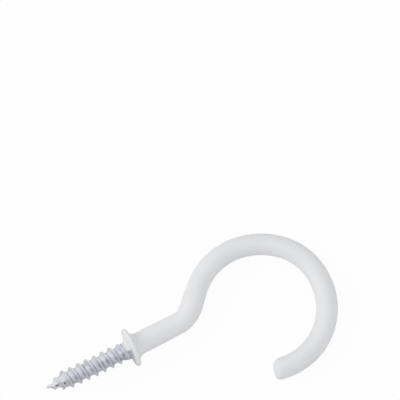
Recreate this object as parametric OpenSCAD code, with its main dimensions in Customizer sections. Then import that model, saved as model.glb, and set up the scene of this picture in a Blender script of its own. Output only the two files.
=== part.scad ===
// Shouldered screw hook: one bent steel wire with a rolled, gimlet-pointed wood
// screw at one end, and a soft white coating from its collar to the tip of the bow.
//
// Frame: the origin is the centre of the collar's seat, on the screw's axis.
// +X runs from the seat into the shank, so the screw points along -X. The wire is
// bent in the XY plane, first towards +Y and then round through -Y, and Z is up.

/* [Wire] */
// Diameter of the steel wire
steel_d = 3; // [2:0.1:4]
// Thickness of the coating on the wire
coat_t = 0.44; // [0.3:0.02:1]

/* [Screw] */
// Length from the collar's seat to the tip of the point
screw_len = 16.5; // [12:0.1:24]
// Diameter over the crests of the thread
thread_d = 3.65; // [3.2:0.05:4.4]
// Diameter of the rolled core between the crests
root_d = 2.62; // [1.8:0.02:2.8]
// Rise of the single, right-hand thread in one turn
pitch = 1.6; // [1.2:0.01:2.2]
// Width of the flat along the crest
crest_w = 0.14; // [0.05:0.01:0.3]
// Angle of each flank away from square to the axis
flank_angle = 38; // [20:1:45]
// Length over which the core comes to its point
point_len = 3.3; // [2:0.1:5]
// Length over which the crests come down to the point
crest_taper_len = 3.5; // [2.5:0.1:6]
// Diameter of the blunt nib at the tip
tip_d = 0.36; // [0.2:0.02:0.6]
// Plain neck between the collar's seat and the end of the core
neck_len = 1.5; // [1:0.1:3]
// Length of the cone between the core and the neck
neck_cone_len = 0.6; // [0.2:0.05:1]
// Length over which the last crest fades into the neck
runout_len = 1.5; // [0.5:0.1:2]
// How much of that length lies on the neck
runout_on_neck = 0.5; // [0:0.1:1]
// Angle about the axis, from +Y, at which a crest meets the tip
thread_start = -60; // [-180:1:180]

/* [Collar] */
// Diameter of the collar over its coating
collar_d = 7.2; // [6.6:0.1:10]
// Thickness of the collar over its coating
collar_t = 0.75; // [0.75:0.05:2]
// Radius of the collar's two outer edges
collar_edge_r = 0.35; // [0.1:0.05:0.35]
// Coating on the faces and round the rim of the steel collar
collar_coat_t = 0.2; // [0.15:0.05:0.3]
// Radius of the fillet between the collar's back and the shank
fillet_r = 1.25; // [0.3:0.05:1.5]
// How far the coating creeps along the neck in front of the seat
creep_len = 0.3; // [0.1:0.05:0.8]
// Thickness of the creep where it leaves the seat
creep_seat_t = 0.3; // [0.1:0.05:0.6]
// Thickness of the creep at its front edge
creep_edge_t = 0.08; // [0.04:0.02:0.1]

/* [Hook] */
// Straight shank, from the collar's seat to the crease
shank_len = 10.1; // [6:0.1:20]
// Turn of the wire at the crease on the inside of the bend
crease_turn = 12; // [4:1:30]
// Radius left in the crease, on the inside of the coated wire
crease_r = 0.12; // [0.05:0.01:0.5]
// Radius of the bend, at the middle of the wire
bend_r = 6.5; // [5:0.1:10]
// Turn of the bend after the crease
bend_turn = 34; // [15:1:50]
// Straight stretch between the bend and the bow
leg_len = 2.8; // [1:0.1:10]
// Radius of the bow, at the middle of the wire
bow_r = 11.9; // [8:0.1:20]
// Turn of the bow
bow_turn = 238; // [150:1:245]
// Radius that rounds off the free end
end_r = 1; // [0.6:0.1:1.4]

/* [Hidden] */
$fn = 96;

steel_r = steel_d / 2;
skin_r = steel_r + coat_t;
thread_r = thread_d / 2;
root_r = root_d / 2;
tip_r = tip_d / 2;
collar_r = collar_d / 2;
crease_mid_r = skin_r + crease_r;
// The fillet leaves at least this much of the collar's back flat.
back_flat_min = 0.05;
back_edge_r = collar_r - collar_edge_r;
back_fillet_r = min(fillet_r, back_edge_r - skin_r - back_flat_min);

// Rows of the thread's surface follow its helix, and this many points make a turn.
turn_sides = 36;
// Arcs in the turned profiles take this many steps each.
arc_steps = 10;
// How far a buried surface lies under the one that covers it.
bury = 0.1;
// A bend is this much thicker than the stretch that runs into it, and that
// stretch ends this far inside the bend, so that no two surfaces coincide.
swell = 0.01;
lap = 0.05;

flank_w = (thread_r - root_r) * tan(flank_angle);
ridge_w = crest_w + 2 * flank_w;
// One turn of the ridge: distance along the axis and share of the ridge's height.
ridge_rows = [
    [0, 0],
    [flank_w, 1],
    [flank_w + crest_w, 1],
    [ridge_w, 0],
    [(pitch + ridge_w) / 2, 0]
];
rows_in_turn = len(ridge_rows);
// The first row starts just behind the tip, and the last one lies inside the neck.
first_row_z = 0.08;
crest_first_z = first_row_z + ridge_w / 2;
neck_z = screw_len - neck_len;
runout_end_z = neck_z + runout_on_neck;
row_count = rows_in_turn * ceil((runout_end_z - first_row_z) / pitch);
// The helix is turned so that its crest would meet the tip at thread_start.
row_angle = thread_start + 360 * crest_first_z / pitch;

// Points of an arc about [cx, cy], from one angle to another.
function arc(cx, cy, r, from, to) = [
    for (i = [0:arc_steps])
        let (a = from + (to - from) * i / arc_steps)
            [cx + r * cos(a), cy + r * sin(a)]
];

// Radius of the core, and of the crests, at a distance from the tip.
function core_at(z) = min(root_r, tip_r + (root_r - tip_r) * z / point_len);
function point_crest_at(z) = tip_r + (thread_r - tip_r) * z / crest_taper_len;
function runout_crest_at(z) =
    steel_r - bury + (thread_r - steel_r + bury) * (runout_end_z - z) / runout_len;
function crest_at(z) =
    max(core_at(z), min(thread_r, point_crest_at(z), runout_crest_at(z)));

// A point of the thread's surface: row along the axis, column about it.
function thread_point(row, column) =
    let (
        step = ridge_rows[row % rows_in_turn],
        turn = floor(row / rows_in_turn) + column / turn_sides,
        z = first_row_z + step[0] + turn * pitch,
        r = core_at(z) + step[1] * (crest_at(z) - core_at(z)),
        a = row_angle + 360 * column / turn_sides
    )
    [r * cos(a), r * sin(a), z];

// Turns local +Z into +X, local +X into +Y and local +Y into +Z.
module along_x() {
    rotate([90, 0, 90]) children();
}

module turned(profile) {
    along_x() rotate_extrude() polygon(profile);
}

module rod(r, from_x, to_x) {
    translate([from_x, 0, 0]) along_x() cylinder(r = r, h = to_x - from_x);
}

// A bend from the local origin, to the left if turn is positive, followed by
// children(). It sweeps on past its end by lap_beyond, into a thicker stretch.
module bend_then(r, radius, turn, lap_beyond = 0) {
    side = sign(turn);
    swept = turn + side * lap_beyond / radius * 180 / PI;
    translate([0, side * radius, 0]) {
        rotate([0, 0, -side * 90])
            rotate_extrude(angle = swept) translate([radius, 0]) circle(r);
        rotate([0, 0, turn]) translate([0, -side * radius, 0]) children();
    }
}

// A straight stretch from the local origin, followed by children(). It runs
// into the bends at both of its ends.
module straight_then(r, length) {
    rod(r, -lap, length + lap);
    translate([length, 0, 0]) children();
}

// The wire from the crease on, at radius r, with children() as its free end.
module bent_wire(r) {
    translate([shank_len, 0, 0])
        bend_then(r + swell, crease_mid_r, crease_turn, lap_beyond = lap)
            bend_then(r + 2 * swell, bend_r, bend_turn)
                straight_then(r, leg_len)
                    bend_then(r + swell, bow_r, -bow_turn)
                        children();
}

// Everything of the steel but its thread: neck, shank, collar and bent wire.
module bare_wire() {
    rod(steel_r, -neck_len, shank_len + lap);
    bent_wire(steel_r) rod(steel_r, -lap, end_r - coat_t);
    rod(collar_r - collar_coat_t, collar_coat_t, collar_t - collar_coat_t);
}

// The rolled thread on its core, as one closed surface along the helix, with
// the tip at the local origin and the head end inside the neck.
module thread() {
    column_rows = [for (c = [0:turn_sides - 1]) c == 0 ? row_count + rows_in_turn : row_count];
    starts = [
        for (c = [0:turn_sides - 1])
            c == 0 ? 0 : column_rows[0] + 1 + (c - 1) * (row_count + 1)
    ];
    points = [
        for (c = [0:turn_sides - 1]) for (row = [0:column_rows[c]]) thread_point(row, c)
    ];
    // The column after the last one is the first, a whole turn further on.
    function index(row, c) =
        c == turn_sides ? starts[0] + row + rows_in_turn : starts[c] + row;
    sides = [
        for (c = [0:turn_sides - 1]) for (row = [0:row_count - 1]) each [
            [index(row, c), index(row + 1, c), index(row + 1, c + 1)],
            [index(row, c), index(row + 1, c + 1), index(row, c + 1)]
        ]
    ];
    tip = len(points);
    head = tip + 1;
    // An end's rim is its last row, then the step back along the seam.
    function rim(row) = concat(
        [for (c = [0:turn_sides]) index(row, c)],
        [for (k = [1:rows_in_turn]) index(row + rows_in_turn - k, 0)]
    );
    tip_rim = rim(0);
    head_rim = rim(row_count);
    steps = turn_sides + rows_in_turn - 1;
    tip_faces = [for (k = [0:steps]) [tip, tip_rim[k], tip_rim[k + 1]]];
    head_faces = [for (k = [0:steps]) [head, head_rim[k + 1], head_rim[k]]];
    head_z = thread_point(row_count, 0)[2] + pitch / 2;
    polyhedron(
        points = concat(points, [[0, 0, 0], [0, 0, head_z]]),
        faces = concat(sides, tip_faces, head_faces)
    );
}

// The cone from the core up to the neck.
module neck_cone() {
    translate([-neck_len - neck_cone_len, 0, 0])
        along_x() cylinder(r1 = root_r - bury, r2 = steel_r, h = neck_cone_len);
}

module steel_hook() {
    color("silver") {
        union() {
            bare_wire();
            neck_cone();
        }
        translate([-screw_len, 0, 0]) along_x() thread();
    }
}

module vinyl_coating() {
    collar_and_shank = concat(
        [[0, -creep_len], [steel_r + creep_edge_t, -creep_len], [steel_r + creep_seat_t, 0]],
        arc(back_edge_r, collar_edge_r, collar_edge_r, -90, 0),
        arc(back_edge_r, collar_t - collar_edge_r, collar_edge_r, 0, 90),
        arc(skin_r + back_fillet_r, collar_t + back_fillet_r, back_fillet_r, 270, 180),
        [[skin_r, shank_len + lap], [0, shank_len + lap]]
    );
    free_end = concat(
        [[0, -lap], [skin_r, -lap]],
        arc(skin_r - end_r, lap, end_r, 0, 90),
        [[0, lap + end_r]]
    );
    color("white") difference() {
        union() {
            turned(collar_and_shank);
            bent_wire(skin_r) turned(free_end);
        }
        bare_wire();
    }
}

steel_hook();
vinyl_coating();
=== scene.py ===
"""Shouldered screw hook: a zinc-plated wood screw with a white vinyl-coated wire bow.

Constants are in millimetres and degrees, in the part's own frame: the origin is the
centre of the collar's seat, the screw points along -X and the wire bends in the XY plane.
Angles about the screw or the wire start at its +Y side and turn towards +Z.
Meshes are made in metres.
"""
import math

import bmesh
import bpy
import numpy as np
from mathutils import Matrix, Vector


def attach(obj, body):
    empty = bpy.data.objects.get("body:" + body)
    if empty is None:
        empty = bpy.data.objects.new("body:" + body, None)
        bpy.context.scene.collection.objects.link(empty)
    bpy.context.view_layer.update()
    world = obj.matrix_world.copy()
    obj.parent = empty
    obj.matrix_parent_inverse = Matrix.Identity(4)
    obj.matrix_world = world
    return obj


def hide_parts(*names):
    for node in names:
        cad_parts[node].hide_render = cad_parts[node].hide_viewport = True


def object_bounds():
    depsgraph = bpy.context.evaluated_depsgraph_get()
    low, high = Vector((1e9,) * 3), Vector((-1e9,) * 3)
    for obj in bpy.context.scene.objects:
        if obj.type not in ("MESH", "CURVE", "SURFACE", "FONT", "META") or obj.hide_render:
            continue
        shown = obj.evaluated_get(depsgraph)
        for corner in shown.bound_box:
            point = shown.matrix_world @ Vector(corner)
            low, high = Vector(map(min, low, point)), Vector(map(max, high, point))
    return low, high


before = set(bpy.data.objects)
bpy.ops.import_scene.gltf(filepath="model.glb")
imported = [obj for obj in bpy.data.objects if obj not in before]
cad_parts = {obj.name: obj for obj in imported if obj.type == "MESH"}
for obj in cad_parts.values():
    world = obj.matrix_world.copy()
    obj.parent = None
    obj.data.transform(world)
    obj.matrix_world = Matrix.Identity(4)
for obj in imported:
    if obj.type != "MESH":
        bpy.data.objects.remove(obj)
cad_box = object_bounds()

MM = 0.001

# The screw reaches furthest along -X, and the collar is the widest part along Z. The
# frame's numbers are single precision, so they are rounded to a micron.
SCREW_LEN = round(-cad_box[0][0] / MM, 3)
COLLAR_R = round(cad_box[1][2] / MM, 3)

# Wire and its coating, which is a little thicker on the shank than on the bow
STEEL_R = 1.5
SHANK_SKIN_R = 2.0
SKIN_R = 1.93

# Thread, which is right-handed. THREAD_START is where a crest would meet the tip.
THREAD_R = 1.86
ROOT_R = 1.31
PITCH = 1.6
CREST_W = 0.12
FLANK_W = 0.46
FLANK_POWER = 1.2
THREAD_START = -66.0
# The ridge wavers along the screw, and its height varies by this share either way.
CREST_WAVER = 0.03
HEIGHT_VARIATION = 0.025
# Shares of the ridge's height between which its crest is painted lighter, partly as burnish and
# partly as a painted highlight
WEAR_AND_HIGHLIGHT_FROM = 0.73
WEAR_AND_HIGHLIGHT_WHOLE = 0.92

# Point: the core narrows to a waist behind a round nib.
POINT_LEN = 3.3
CREST_TAPER_LEN = 3.2
NIB_R = 0.22
WAIST_R = 0.2
# One ridge, this far from the tip, lies a little nearer to it than its turn says.
EARLY_RIDGE = 0.2
EARLY_RIDGE_AT = 2.82
EARLY_RIDGE_HALF = 0.36

# Neck between the thread and the collar. The last crest dies out on it, at a height.
NECK_LEN = 1.5
NECK_CONE_LEN = 0.6
NECK_BULGE = 0.08
RUNOUT_LEN = 2.0
RUNOUT_ON_NECK = 1.0
RUNOUT_END_HEIGHT = 0.04

# How far the screw strays sideways from its axis. The bow and the sags are placed by
# their distance from the seat, and the hump by its distance from the tip.
SCREW_BOW = 0.28
SCREW_BOW_FROM = 4.0
SCREW_BOW_WHOLE = 17.0
POINT_BEND = 0.24
POINT_HUMP = 0.1
POINT_HUMP_AT = 2.5
POINT_HUMP_HALF = 1.0
THREAD_SAG = 0.03
NECK_SAG = 0.18
NECK_SAG_FROM = 2.0
NECK_SAG_WHOLE = 1.0
SEAT_SAG = 0.12
SEAT_SAG_FROM = 0.9
SEAT_SAG_WHOLE = 0.4

# Collar, and the fillet between its back and the shank
COLLAR_T = 0.75
COLLAR_EDGE_R = 0.35
COLLAR_LEAN_Y = 2.7
COLLAR_LEAN_Z = -1.5
FILLET_R = 1.25
FILLET_LEN = 1.45

# Coating that crept along the neck, far on one side and hardly at all on the other.
# Each pair is a size away from that side and on it.
CREEP_ANGLE = 20.0
CREEP_HALF_WIDTH = 96.0
CREEP_FADE = 26.0
CREEP_LEN = (0.2, 1.2)
CREEP_FILLET_LEN = (0.12, 1.05)
CREEP_RISE = (0.25, 1.58)
CREEP_FILM = (0.04, 0.07)
# The film starts this deep in the neck. Its edge reaches these shares of its
# thickness at these distances.
CREEP_BURY = 0.05
CREEP_EDGE = ((0.02, 0.6), (0.06, 1.0))

# Hook
SHANK_LEN = 10.1
CREASE_TURN = 12.0
CREASE_MID_R = 2.06
BEND_R = 6.5
BEND_TURN = 34.0
LEG_LEN = 2.8
BOW_R = 11.9
BOW_TURN = 236.8
# The coat is fuller on the inside of the bend, with a dip just past the crease.
BEND_SWELL = 0.14
CREASE_DIP = 0.07
# The bow bulges outwards, about this share of its way round.
BOW_BULGE = 0.22
BOW_BULGE_AT = 0.46
BOW_BULGE_HALF = 0.11
# The free end was cut a little aslant, and its face is nearly flat.
END_R = 1.25
END_SLANT = 7.0
END_CROWN = 0.04
END_LAP = 0.05

# Points round the wire and the screw, and steps along each stretch
SIDES = 96
CREEP_STEPS = 9
EDGE_STEPS = 9
FILLET_STEPS = 18
SHANK_STEPS = 30
CREASE_STEPS = 6
BEND_STEPS = 16
LEG_STEPS = 8
BOW_STEPS = 150
END_STEPS = 12
# The screw's surface has rows at these distances from a crest, on both sides of it.
CREST_ROWS = (0.03, 0.055, 0.08, 0.11, 0.16, 0.22, 0.28, 0.34, 0.40, 0.46, 0.52, 0.59, 0.69)
# The screw ends this far inside the coated shank.
SCREW_LAP = 0.4
# Points of the screw's grid that lie this near each other, in metres, become one.
WELD = 2e-7

# Colours
ZINC_DARK = (0.57, 0.59, 0.64)
ZINC_LIGHT = (0.73, 0.75, 0.80)
# Lighter zinc of the crests and the point: partly burnish, partly a painted highlight
ZINC_WEAR_AND_HIGHLIGHT = (0.79, 0.80, 0.83)
VINYL_DARK = (0.763, 0.763, 0.771)
VINYL_LIGHT = (0.803, 0.798, 0.806)
VINYL_FILM = (0.66, 0.67, 0.69)
PAPER = (0.86, 0.86, 0.86)
WHITE = (1.0, 1.0, 1.0)

# Floor: the hook lies on it on its collar's rim and its bow. The metal mirrors it
# dimmer than it looks, and dimmest on the near side of the screw.
FLOOR_NORMAL = Vector((-0.0459, -0.0056, 0.9989)).normalized()
FLOOR_HALF_WIDTH_M = 3.0
MIRRORED_NEAR = 0.56
MIRRORED_FAR = 0.82
MIRRORED_CHANGE_HALF = 5.0

# Camera: how far its aim is from the seat, to the right and upwards as it sees them,
# the width that it takes in, and the way that it looks
AIM_RIGHT = 12.595
AIM_UP = 26.5
VIEW_WIDTH = 71.43
HEADING = 28.7
ELEVATION = 73.4
CAMERA_DISTANCE = 2000.0
SENSOR_WIDTH = 36.0

# Directions below are in parts to the right, away from the camera and up from the floor.
# Each shade on the walls has a direction, how nearly along it the shade starts and is
# whole (as cosines), and its change of tone.
WALL_TONE = 0.97
SHADES = (
    ((0.8, -0.6, 0.0), -0.3, 0.8, -0.26),
    ((-0.24, -0.93, 0.29), 0.84, 0.96, -0.58),
)
# The even light that the walls give
FILL = 0.64
FILL_COLOUR = (0.97, 0.985, 1.0)
# Each lamp has a direction and a power in watts.
LAMPS = {
    "left": ((-1.0, 0.0, 0.6), 1.22),
    "left_back": ((-0.7, 0.7, 0.6), 0.16),
    "top": ((0.0, 0.05, 1.0), 0.33),
    "right": ((1.0, 0.0, 0.6), 0.23),
    "right_front": ((0.7, -0.7, 0.6), 0.29),
}
LAMP_WIDTH_M = 0.4
LAMP_DISTANCE_M = 0.6

# ---------------------------------------------------------------- small helpers


def ease(x, start, end):
    """Smooth step from 0 to 1 as x goes from start to end."""
    share = np.clip((x - start) / (end - start), 0.0, 1.0)
    return share * share * (3.0 - 2.0 * share)


def bell(x, middle, half):
    """Smooth bump, 1 high at the middle and nearly 0 at twice the half from it."""
    return np.exp(-(((x - middle) / half) ** 2))


def between(pair, share):
    """What lies a share of the way from the pair's first to its second."""
    return pair[0] + (pair[1] - pair[0]) * share


def axes_of(heading):
    """Unit vectors in the XY plane along a heading in radians, and to its left."""
    ahead = np.array([math.cos(heading), math.sin(heading)])
    return ahead, np.array([-ahead[1], ahead[0]])


def arc(cx, cy, r, start, end, steps):
    """Points of an arc about (cx, cy), from one angle to another."""
    angles = np.radians(np.linspace(start, end, steps + 1))
    return [(cx + r * math.cos(a), cy + r * math.sin(a)) for a in angles]


def linked_object(name, data):
    """A new object in the scene."""
    thing = bpy.data.objects.new(name, data)
    bpy.context.scene.collection.objects.link(thing)
    return thing


def place(thing, location, rotation):
    """Puts an object somewhere, turned by a quaternion."""
    thing.location = location
    thing.rotation_mode = "QUATERNION"
    thing.rotation_quaternion = rotation


def mesh_object(name, verts, faces, weld=0.0, wear_and_highlight=None):
    """A smooth-shaded object of the given points, with its normals outwards."""
    mesh = bpy.data.meshes.new(name)
    mesh.from_pydata(verts, [], faces)
    # Per-point share of the lighter crest colour: partly burnish, partly a painted highlight
    if wear_and_highlight is not None:
        mesh.attributes.new("wear_and_highlight", "FLOAT", "POINT").data.foreach_set("value", wear_and_highlight)
    bm = bmesh.new()
    bm.from_mesh(mesh)
    if weld:
        bmesh.ops.remove_doubles(bm, verts=bm.verts, dist=weld)
        bmesh.ops.dissolve_degenerate(bm, edges=bm.edges, dist=weld)
    bmesh.ops.recalc_face_normals(bm, faces=bm.faces)
    bm.to_mesh(mesh)
    bm.free()
    mesh.shade_smooth()
    return linked_object(name, mesh)


# ---------------------------------------------------------------- vinyl coating


def centreline():
    """Stations along the wire from the crease on: a point and the way that it heads."""
    stations = []
    point = np.array([SHANK_LEN, 0.0])
    heading = 0.0

    def bend(radius, turn, steps):
        nonlocal point, heading
        to_centre = math.copysign(radius, turn)
        centre = point + to_centre * axes_of(heading)[1]
        first = heading
        for i in range(1, steps + 1):
            heading = first + math.radians(turn) * i / steps
            point = centre - to_centre * axes_of(heading)[1]
            stations.append((point, heading))

    bend(CREASE_MID_R, CREASE_TURN, CREASE_STEPS)
    bend(BEND_R, BEND_TURN, BEND_STEPS)
    first = point
    for i in range(1, LEG_STEPS + 1):
        point = first + LEG_LEN * i / LEG_STEPS * axes_of(heading)[0]
        stations.append((point, heading))
    bend(BOW_R, -BOW_TURN, BOW_STEPS)

    # The bow isn't quite round: it bulges a little near its middle.
    before_bow = len(stations) - BOW_STEPS
    for i in range(before_bow, len(stations)):
        point, heading = stations[i]
        out = BOW_BULGE * bell((i - before_bow + 1) / BOW_STEPS, BOW_BULGE_AT, BOW_BULGE_HALF)
        stations[i] = (point + out * axes_of(heading)[1], heading)
    return stations


def neck_sag(from_seat):
    """How far the neck sits towards -Y. It meets the collar's seat off centre."""
    sag = between((THREAD_SAG, NECK_SAG), ease(from_seat, NECK_SAG_FROM, NECK_SAG_WHOLE))
    return sag + SEAT_SAG * ease(from_seat, SEAT_SAG_FROM, SEAT_SAG_WHOLE)


def creep_rings(angles):
    """Rings of the coat that crept along the neck, up to the collar's rim: x and r."""
    away = np.abs((np.degrees(angles) - CREEP_ANGLE + 180) % 360 - 180)
    away = away + 12 * np.sin(3 * angles)
    fade_from = CREEP_HALF_WIDTH - CREEP_FADE / 2
    cover = 1 - ease(away, fade_from, fade_from + CREEP_FADE)
    waves = 0.03 * np.sin(5 * angles + 1.0) + 0.02 * np.sin(11 * angles)
    creep = between(CREEP_LEN, cover) + waves
    fillet_len = between(CREEP_FILLET_LEN, cover)
    rise = between(CREEP_RISE, cover)
    film = between(CREEP_FILM, cover)

    def over_neck(x, height):
        return x, STEEL_R + NECK_BULGE - neck_sag(-x) * np.cos(angles) + height

    rings = [over_neck(-creep, -CREEP_BURY), over_neck(-creep, 0.0)]
    rings += [over_neck(-creep + back, share * film) for back, share in CREEP_EDGE]
    rings += [over_neck(-between((fillet_len, creep), share), film) for share in (0.6, 0.3)]
    for t in np.radians(np.linspace(0, 90, CREEP_STEPS + 1)):
        rings.append(over_neck(-fillet_len * (1 - math.sin(t)), film + rise * (1 - math.cos(t))))
    seat_r = rings[-1][1]
    for share in (0.25, 0.5, 0.75):
        rings.append((0.0, between((seat_r, COLLAR_R - COLLAR_EDGE_R), share)))
    return rings


def straight_rings(angles):
    """Rings of the coating about the screw's axis, from its front edge to the crease."""
    profile = creep_rings(angles)
    edge_at = COLLAR_R - COLLAR_EDGE_R
    rim = arc(edge_at, COLLAR_EDGE_R, COLLAR_EDGE_R, -90, 0, EDGE_STEPS)
    rim += arc(edge_at, COLLAR_T - COLLAR_EDGE_R, COLLAR_EDGE_R, 0, 90, EDGE_STEPS)
    profile += [(x, r) for r, x in rim]
    for a in np.radians(np.linspace(270, 180, FILLET_STEPS + 1)):
        r = SHANK_SKIN_R + FILLET_R * (1 + math.cos(a))
        profile.append((COLLAR_T + FILLET_LEN * (1 + math.sin(a)), r))
    for share in np.linspace(0, 1, SHANK_STEPS + 1)[1:]:
        x = between((COLLAR_T + FILLET_LEN, SHANK_LEN), share)
        profile.append((x, between((SHANK_SKIN_R, SKIN_R), ease(share, 0.4, 1.0))))

    # The collar leans a little, so what is wider than the shank is sheared along it.
    lean = math.tan(math.radians(COLLAR_LEAN_Y)) * np.cos(angles)
    lean = lean + math.tan(math.radians(COLLAR_LEAN_Z)) * np.sin(angles)
    axis = np.zeros(2)
    return [(axis, 0.0, r, x + lean * r * ease(r, SHANK_SKIN_R, SHANK_SKIN_R + 0.8))
            for x, r in profile]


def bent_rings(angles):
    """Rings of the coating from the crease to the free end, and its rounded face."""
    rings = []
    stations = centreline()
    inside = ease(np.cos(angles), 0.0, 1.0)
    for i, (point, heading) in enumerate(stations):
        # Share of the way round the bend
        past = (i - CREASE_STEPS) / BEND_STEPS
        swell = BEND_SWELL * ease(past, 0.2, 0.45) * ease(past, 1.5, 1.2)
        swell -= CREASE_DIP * bell(past, 0.16, 0.1)
        rings.append((point, heading, SKIN_R + swell * inside, 0.0))

    point, heading = stations[-1]
    ahead = axes_of(heading)[0]
    slant = math.tan(math.radians(END_SLANT)) * np.cos(angles)
    cap = arc(SKIN_R - END_R, END_LAP, END_R, 0, 90, END_STEPS)
    r_last, y_last = cap[-1]
    for share in (0.75, 0.5, 0.25, 0.1):
        cap.append((r_last * share, y_last + END_CROWN * (1 - share)))
    for r, y in cap:
        rings.append((point + y * ahead, heading, r, slant * r * ease(y, 0.0, 0.6 * END_R)))
    return rings


def coating():
    """The white skin, from its thin front edge on the neck to the blunt free end."""
    angles = np.arange(SIDES) * 2 * math.pi / SIDES
    # Each ring is a centre, a heading, its radii and how far its points lie ahead.
    rings = straight_rings(angles) + bent_rings(angles)
    verts = []
    for point, heading, radii, forward in rings:
        ahead, side = axes_of(heading)
        radii = np.broadcast_to(radii, SIDES)
        forward = np.broadcast_to(forward, SIDES)
        for a, r, f in zip(angles, radii, forward):
            p = point + r * math.cos(a) * side + f * ahead
            verts.append((p[0] * MM, p[1] * MM, r * math.sin(a) * MM))
    faces = []
    for i in range(len(rings) - 1):
        row, above = i * SIDES, (i + 1) * SIDES
        for j in range(SIDES):
            k = (j + 1) % SIDES
            faces.append((row + j, row + k, above + k, above + j))
    faces.append(tuple(range(SIDES))[::-1])
    faces.append(tuple((len(rings) - 1) * SIDES + j for j in range(SIDES)))
    return mesh_object("coating_skin", verts, faces)


# ---------------------------------------------------------------- steel screw


def wobble(turn, seed):
    """A slow, repeatable unevenness between -1 and 1 along the thread."""
    return (
        0.5 * np.sin(1.7 * turn + 1.3 * seed)
        + 0.3 * np.sin(4.3 * turn + 2.1 * seed + 0.7)
        + 0.2 * np.sin(11.0 * turn + 0.4 * seed + 2.9)
    )


def core_radius(z):
    """Radius of the core at a distance from the tip, with its round nib and its neck."""
    neck_z = SCREW_LEN - NECK_LEN
    cone = WAIST_R + (ROOT_R - WAIST_R) * (z - 2 * NIB_R) / (POINT_LEN - 2 * NIB_R)
    nib = np.sqrt(np.clip(NIB_R**2 - (NIB_R - z) ** 2, 0.0, None))
    body = np.maximum(nib, np.where(z < NIB_R, 0.0, np.clip(cone, 0.8 * WAIST_R, ROOT_R)))
    body = body + (STEEL_R - ROOT_R) * ease(z, neck_z - NECK_CONE_LEN, neck_z)
    return body + NECK_BULGE * ease(z, neck_z + 0.1, neck_z + 0.5)


def crest_radius(z):
    """Radius of the crests at a distance from the tip."""
    end_z = SCREW_LEN - NECK_LEN + RUNOUT_ON_NECK
    point = WAIST_R + (THREAD_R - WAIST_R) * z / CREST_TAPER_LEN
    low = STEEL_R + RUNOUT_END_HEIGHT
    runout = low + (THREAD_R - low) * (end_z - z) / RUNOUT_LEN
    return np.minimum(THREAD_R, np.minimum(point, runout))


def sideways(z):
    """How far the screw strays from its axis towards +Y at a distance from the tip."""
    from_seat = SCREW_LEN - z
    bow = SCREW_BOW * ease(from_seat, SCREW_BOW_FROM, SCREW_BOW_WHOLE)
    hump = POINT_HUMP * bell(z, POINT_HUMP_AT, POINT_HUMP_HALF)
    to_tip = np.clip(1.0 - z / POINT_LEN, 0.0, 1.0)
    return bow - neck_sag(from_seat) + hump + POINT_BEND * to_tip * (2.0 * to_tip - 1.0)


def tilt(z):
    """How steeply the screw strays towards its tip. Its neck and its nib aren't tilted."""
    step = 0.1
    slope = (sideways(z) - sideways(z + step)) / step
    return slope * ease(SCREW_LEN - z, 2.0, 3.0) * ease(z, NIB_R, NIB_R + 1.0)


def screw():
    """The rolled thread, its gimlet point and the neck, on one grid that climbs the helix."""
    offsets = np.array([-PITCH / 2] + [-h for h in CREST_ROWS[::-1]] + [0.0, *CREST_ROWS])
    per_turn = len(offsets)
    head_z = SCREW_LEN + SCREW_LAP
    rows = np.arange(-per_turn, per_turn * (math.ceil(head_z / PITCH) + 2))
    turn = np.floor_divide(rows, per_turn)
    offset = offsets[np.mod(rows, per_turn)]
    start = THREAD_START / 360.0 * PITCH
    count = len(rows)

    points = []
    wear_and_highlight = []
    for column in range(SIDES):
        angle = 2 * math.pi * column / SIDES
        along = 2 * math.pi * turn + angle
        z = turn * PITCH + PITCH * column / SIDES - start + offset
        z = z - EARLY_RIDGE * bell(z, EARLY_RIDGE_AT, EARLY_RIDGE_HALF)
        z = np.clip(z, 0.0, head_z)
        flank = (np.abs(offset - CREST_WAVER * wobble(along, 1.0)) - CREST_W / 2) / FLANK_W
        shape = (1.0 - np.clip(flank, 0.0, 1.0)) ** FLANK_POWER
        core = core_radius(z)
        lift = np.clip(crest_radius(z) - core, 0.0, None)
        height = 1.0 - HEIGHT_VARIATION * (1.0 - wobble(along, 3.0))
        radii = np.where((z <= 0.0) | (z >= head_z), 0.0, core + lift * shape * height)
        # Share of each crest that gets the lighter zinc colour: partly burnish, partly a painted
        # highlight
        crest = np.clip((shape - WEAR_AND_HIGHLIGHT_FROM) / (WEAR_AND_HIGHLIGHT_WHOLE - WEAR_AND_HIGHLIGHT_FROM), 0.0, 1.0)
        wear_and_highlight.extend(crest * ease(lift, 0.0, 0.1))
        for zi, r, shift, slope in zip(z, radii, sideways(z), tilt(z)):
            x = zi - SCREW_LEN + slope * r * math.cos(angle)
            y = r * math.cos(angle) + shift
            points.append((x * MM, y * MM, r * math.sin(angle) * MM))

    faces = []
    for column in range(SIDES):
        # The column after the last one is the first, a whole turn further on.
        last = column == SIDES - 1
        here = column * count
        beyond = per_turn if last else here + count
        for i in range(count - 1 - (per_turn if last else 0)):
            faces.append((here + i, here + i + 1, beyond + i + 1, beyond + i))
    return mesh_object("screw_steel", points, faces, weld=WELD, wear_and_highlight=wear_and_highlight)


# ---------------------------------------------------------------- node helpers


def set_input(tree, socket, value):
    """Gives an input a number, or links it to another node's output."""
    if isinstance(value, bpy.types.NodeSocket):
        tree.links.new(value, socket)
    else:
        socket.default_value = value


def calculate(tree, operation, *values):
    """The result of a Math node on numbers or outputs."""
    node = tree.nodes.new("ShaderNodeMath")
    node.operation = operation
    for socket, value in zip(node.inputs, values):
        set_input(tree, socket, value)
    return node.outputs[0]


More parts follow.
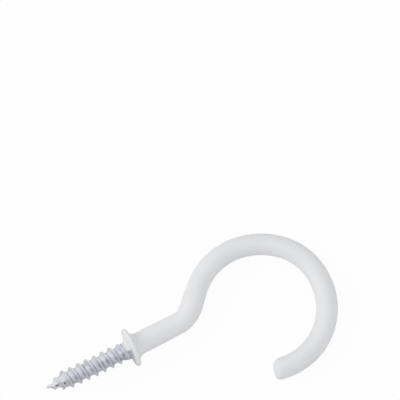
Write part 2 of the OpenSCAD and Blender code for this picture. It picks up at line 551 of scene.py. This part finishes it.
def map_range(tree, value, start, end, low=0.0, high=1.0, eased=True):
    """From low to high as the value goes from start to end, smoothly if eased."""
    node = tree.nodes.new("ShaderNodeMapRange")
    node.interpolation_type = "SMOOTHSTEP" if eased else "LINEAR"
    names = ("From Min", "From Max", "To Min", "To Max")
    for name, number in zip(names, (start, end, low, high)):
        node.inputs[name].default_value = number
    tree.links.new(value, node.inputs["Value"])
    return node.outputs["Result"]


def component(tree, vector, axis):
    """The X, Y or Z of a vector."""
    node = tree.nodes.new("ShaderNodeSeparateXYZ")
    tree.links.new(vector, node.inputs[0])
    return node.outputs[axis]


def noise(tree, spot, scale, detail):
    """Noise between 0 and 1, mostly near 0.5."""
    node = tree.nodes.new("ShaderNodeTexNoise")
    node.inputs["Scale"].default_value = scale
    node.inputs["Detail"].default_value = detail
    tree.links.new(spot, node.inputs["Vector"])
    return node.outputs["Fac"]


def colour_ramp(tree, value, low, high, stops=(0.3, 0.7)):
    """A colour from low to high as the value goes from one stop to the other."""
    node = tree.nodes.new("ShaderNodeValToRGB")
    for element, position, colour in zip(node.color_ramp.elements, stops, (low, high)):
        element.position = position
        element.color = (*colour, 1.0)
    tree.links.new(value, node.inputs["Fac"])
    return node.outputs["Color"]


def mix_colours(tree, share, first, second):
    """The first colour, an output, turning into the second, a plain one."""
    node = tree.nodes.new("ShaderNodeMix")
    node.data_type = "RGBA"
    tree.links.new(share, node.inputs["Factor"])
    tree.links.new(first, node.inputs[6])
    node.inputs[7].default_value = (*second, 1.0)
    return node.outputs[2]


def bump(tree, height, strength, distance):
    """A normal that follows a height of up to the distance, in metres."""
    node = tree.nodes.new("ShaderNodeBump")
    node.inputs["Strength"].default_value = strength
    node.inputs["Distance"].default_value = distance
    tree.links.new(height, node.inputs["Height"])
    return node.outputs["Normal"]


def plain_shader(tree, kind, colour, strength=None):
    """A shader of one colour. An emission or background also has a strength."""
    node = tree.nodes.new(kind)
    node.inputs["Color"].default_value = (*colour, 1.0)
    if strength is not None:
        set_input(tree, node.inputs["Strength"], strength)
    return node.outputs[0]


def background_share(tree, camera_share, mirror_share):
    """How much of the plain white background a ray sees, by the kind of the ray."""
    path = tree.nodes.new("ShaderNodeLightPath")
    shares = {
        "Is Camera Ray": camera_share,
        "Is Glossy Ray": mirror_share,
        "Is Transmission Ray": mirror_share,
    }
    total = 0.0
    for kind, share in shares.items():
        scaled = calculate(tree, "MULTIPLY", path.outputs[kind], share)
        total = calculate(tree, "MAXIMUM", total, scaled)
    return total


def lit_and_seen(owner, output_kind, make_shaders, camera_share, mirror_share):
    """Gives a material or a world one shader for what it lights and one for how it looks."""
    owner.use_nodes = True
    tree = owner.node_tree
    tree.nodes.clear()
    lit, seen = make_shaders(tree)
    mix = tree.nodes.new("ShaderNodeMixShader")
    tree.links.new(background_share(tree, camera_share, mirror_share), mix.inputs["Fac"])
    tree.links.new(lit, mix.inputs[1])
    tree.links.new(seen, mix.inputs[2])
    out = tree.nodes.new(output_kind)
    tree.links.new(mix.outputs[0], out.inputs["Surface"])


# ---------------------------------------------------------------- materials


def new_material(name):
    """A material, its node tree, its shader and a point's place on the object."""
    material = bpy.data.materials.new(name)
    material.use_nodes = True
    tree = material.node_tree
    spot = tree.nodes.new("ShaderNodeTexCoord").outputs["Object"]
    return material, tree, tree.nodes["Principled BSDF"], spot


def zinc():
    """Bluish zinc plating, a little blotchy, with crests and point painted lighter, partly as
    burnish and partly as painted highlights.
    """
    material, tree, shader, spot = new_material("zinc_plating")
    shader.inputs["Metallic"].default_value = 1.0
    blotches = noise(tree, spot, 700.0, 4.0)
    grain = noise(tree, spot, 1700.0, 3.0)
    x = component(tree, spot, "X")
    point_from = (POINT_LEN + 0.2 - SCREW_LEN) * MM
    point_whole = (POINT_LEN - 1.2 - SCREW_LEN) * MM
    point = map_range(tree, x, point_from, point_whole, eased=False)

    tint = colour_ramp(tree, blotches, ZINC_DARK, ZINC_LIGHT, (0.36, 0.5))
    # The crests and the point get a lighter colour: partly burnish, partly a painted highlight.
    crest = tree.nodes.new("ShaderNodeAttribute")
    crest.attribute_name = "wear_and_highlight"
    wear_and_highlight = calculate(tree, "MAXIMUM", crest.outputs["Fac"], point)
    tree.links.new(mix_colours(tree, wear_and_highlight, tint, ZINC_WEAR_AND_HIGHLIGHT), shader.inputs["Base Color"])

    # The point is smoother than the thread, and the neck is duller.
    roughness = map_range(tree, grain, 0.3, 0.7, 0.26, 0.38, eased=False)
    roughness = calculate(tree, "MULTIPLY_ADD", point, -0.16, roughness)
    duller = map_range(tree, x, -2.1 * MM, -1.5 * MM, 0.0, 0.3)
    tree.links.new(calculate(tree, "ADD", roughness, duller), shader.inputs["Roughness"])
    tree.links.new(bump(tree, grain, 0.35, 0.04 * MM), shader.inputs["Normal"])
    return material


def vinyl():
    """White vinyl with a soft sheen, slightly uneven as it ran off the wire."""
    material, tree, shader, spot = new_material("white_vinyl")
    slow = noise(tree, spot, 160.0, 2.0)
    fine = noise(tree, spot, 2600.0, 4.0)

    # The film on the neck is thin enough for the steel to show through.
    tint = colour_ramp(tree, slow, VINYL_DARK, VINYL_LIGHT)
    thin = map_range(tree, component(tree, spot, "X"), -0.25 * MM, -1.0 * MM)
    tree.links.new(mix_colours(tree, thin, tint, VINYL_FILM), shader.inputs["Base Color"])
    roughness = map_range(tree, slow, 0.3, 0.7, 0.38, 0.5, eased=False)
    tree.links.new(roughness, shader.inputs["Roughness"])
    tree.links.new(bump(tree, fine, 0.12, 0.02 * MM), shader.inputs["Normal"])
    return material


# ---------------------------------------------------------------- floor, walls and lamps


def floor_shaders(tree):
    """Pale paper that keeps the hook's shadow, and the plain white that it looks like."""
    spot = tree.nodes.new("ShaderNodeNewGeometry").outputs["Position"]
    mirrored = map_range(tree, component(tree, spot, "Y"), -MIRRORED_CHANGE_HALF * MM,
                         MIRRORED_CHANGE_HALF * MM, MIRRORED_NEAR, MIRRORED_FAR)
    camera_ray = tree.nodes.new("ShaderNodeLightPath").outputs["Is Camera Ray"]
    strength = calculate(tree, "MAXIMUM", camera_ray, mirrored)
    paper = plain_shader(tree, "ShaderNodeBsdfDiffuse", PAPER)
    return paper, plain_shader(tree, "ShaderNodeEmission", WHITE, strength)


def lay_floor(piece):
    """A wide floor square to FLOOR_NORMAL, just under the piece."""
    material = bpy.data.materials.new("floor_white")
    lit_and_seen(material, "ShaderNodeOutputMaterial", floor_shaders, 0.95, 0.9)
    mesh = bpy.data.meshes.new("floor")
    mesh.materials.append(material)
    bm = bmesh.new()
    bmesh.ops.create_grid(bm, x_segments=1, y_segments=1, size=FLOOR_HALF_WIDTH_M)
    bm.to_mesh(mesh)
    bm.free()
    floor = linked_object("floor", mesh)
    lowest = min(FLOOR_NORMAL.dot(v.co) for v in piece.data.vertices)
    level = Vector((0, 0, 1)).rotation_difference(FLOOR_NORMAL)
    place(floor, FLOOR_NORMAL * lowest, level)


def picture_axes():
    """Right in the picture, away from the camera along the floor, and up from the floor."""
    level = Vector((0, 0, 1)).rotation_difference(FLOOR_NORMAL)
    h = math.radians(HEADING)
    right = level @ Vector((math.cos(h), -math.sin(h), 0))
    away = level @ Vector((math.sin(h), math.cos(h), 0))
    return Matrix((right, away, FLOOR_NORMAL)).transposed()


def studio_world(axes):
    """Pale walls, with their shades, for what is seen, and an even fill for what is lit."""

    def wall_shaders(tree):
        looking = tree.nodes.new("ShaderNodeTexCoord").outputs["Generated"]
        walls = WALL_TONE
        for direction, start, whole, change in SHADES:
            along = tree.nodes.new("ShaderNodeVectorMath")
            along.operation = "DOT_PRODUCT"
            along.inputs[1].default_value = (axes @ Vector(direction)).normalized()
            tree.links.new(looking, along.inputs[0])
            shade = map_range(tree, along.outputs["Value"], start, whole, 0.0, change)
            walls = calculate(tree, "ADD", walls, shade)
        even = plain_shader(tree, "ShaderNodeBackground", FILL_COLOUR, FILL)
        return even, plain_shader(tree, "ShaderNodeBackground", WHITE, walls)

    world = bpy.data.worlds.new("studio")
    lit_and_seen(world, "ShaderNodeOutputWorld", wall_shaders, 1.0, 1.0)
    bpy.context.scene.world = world


def soft_lamp(name, towards, watts):
    """A round soft box in a direction from the hook, hidden from camera and reflections."""
    lamp = bpy.data.lights.new(name, "AREA")
    lamp.shape = "DISK"
    lamp.size = LAMP_WIDTH_M
    lamp.energy = watts
    holder = linked_object(name, lamp)
    low, high = cad_box
    middle = (Vector(low) + Vector(high)) / 2
    place(holder, middle + towards * LAMP_DISTANCE_M, towards.to_track_quat("Z", "Y"))
    holder.visible_camera = False
    holder.visible_glossy = False


def place_camera(axes):
    """A long lens, aimed AIM_RIGHT and AIM_UP from the seat, that takes in VIEW_WIDTH."""
    right, away, normal = axes.col
    e = math.radians(ELEVATION)
    up = away * math.sin(e) + normal * math.cos(e)
    back = -away * math.cos(e) + normal * math.sin(e)
    lens = bpy.data.cameras.new("camera")
    lens.sensor_width = SENSOR_WIDTH
    lens.lens = SENSOR_WIDTH * CAMERA_DISTANCE / VIEW_WIDTH
    lens.clip_start = 0.01
    lens.clip_end = 20.0
    camera = linked_object("camera", lens)
    location = (right * AIM_RIGHT + up * AIM_UP + back * CAMERA_DISTANCE) * MM
    place(camera, location, Matrix((right, up, back)).transposed().to_quaternion())
    bpy.context.scene.camera = camera


# ---------------------------------------------------------------- the part

skin = coating()
skin.data.materials.append(vinyl())
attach(skin, "root")
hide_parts("vinyl_coating")

steel = screw()
steel.data.materials.append(zinc())
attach(steel, "root")
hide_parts("steel_hook")

# ---------------------------------------------------------------- the stage

lay_floor(skin)
view_axes = picture_axes()
studio_world(view_axes)
for lamp_name, (lamp_direction, lamp_watts) in LAMPS.items():
    soft_lamp(lamp_name, (view_axes @ Vector(lamp_direction)).normalized(), lamp_watts)
place_camera(view_axes)
bpy.context.scene.view_settings.view_transform = "Standard"
